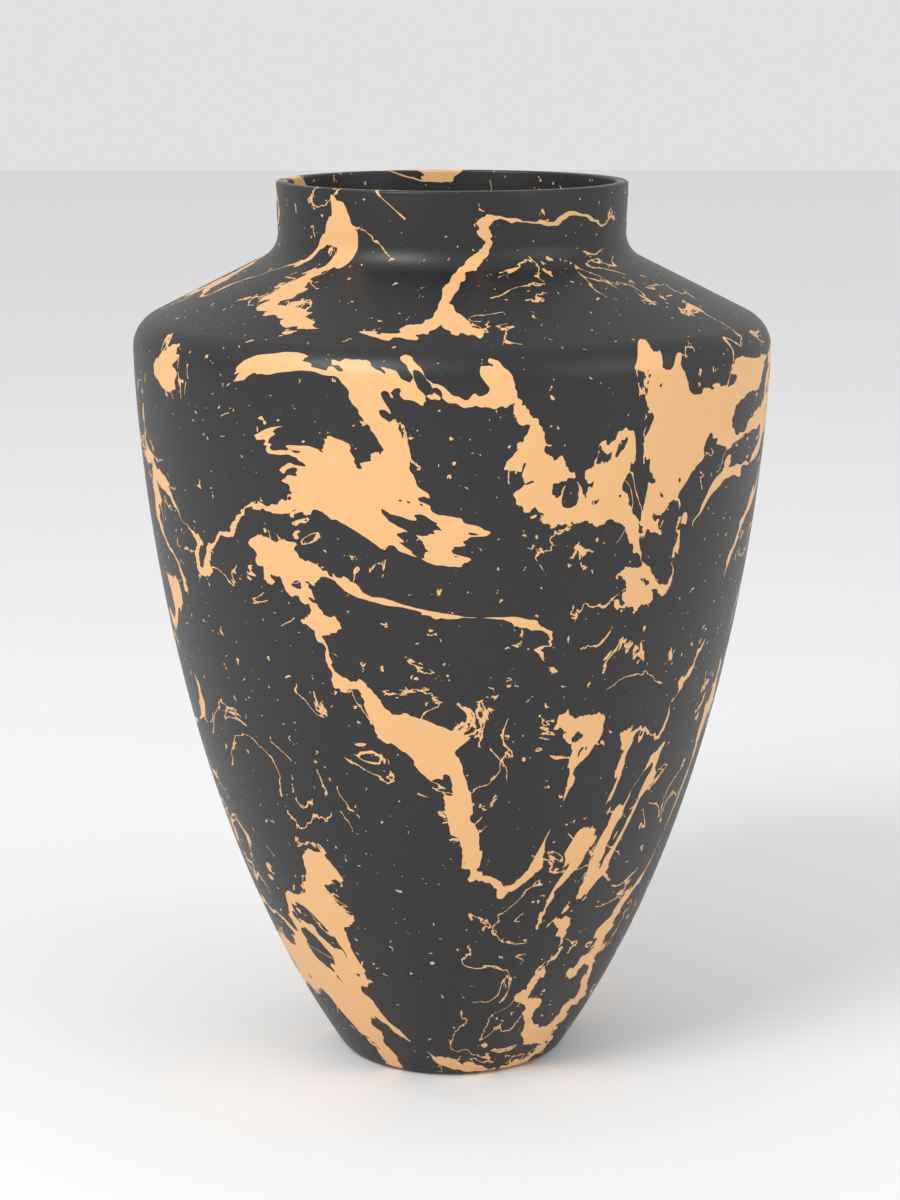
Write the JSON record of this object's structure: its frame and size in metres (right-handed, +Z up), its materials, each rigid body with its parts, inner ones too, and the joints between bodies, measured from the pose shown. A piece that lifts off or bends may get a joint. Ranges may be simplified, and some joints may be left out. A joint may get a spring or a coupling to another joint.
{
  "type": "vase",
  "caption": "Shouldered jar-shaped glass vase with a short wide neck, matt black with gold marbling, on small clear bumpers.",
  "frame": {"origin": "centre of the plane that the vase rests on, on the vase's axis", "axes": "+Z up along the vase's axis, out through the mouth; X and Y are level"},
  "size_m": [0.2484, 0.2484, 0.35],
  "materials": {
    "black_glass": "matt black lacquer with gold marbling",
    "clear_bumper": "clear soft plastic"
  },
  "bodies": {
    "root": {"vase_body": "black_glass", "bumper_1": "clear_bumper", "bumper_2": "clear_bumper", "bumper_3": "clear_bumper", "bumper_4": "clear_bumper"}
  },
  "joints": []
}
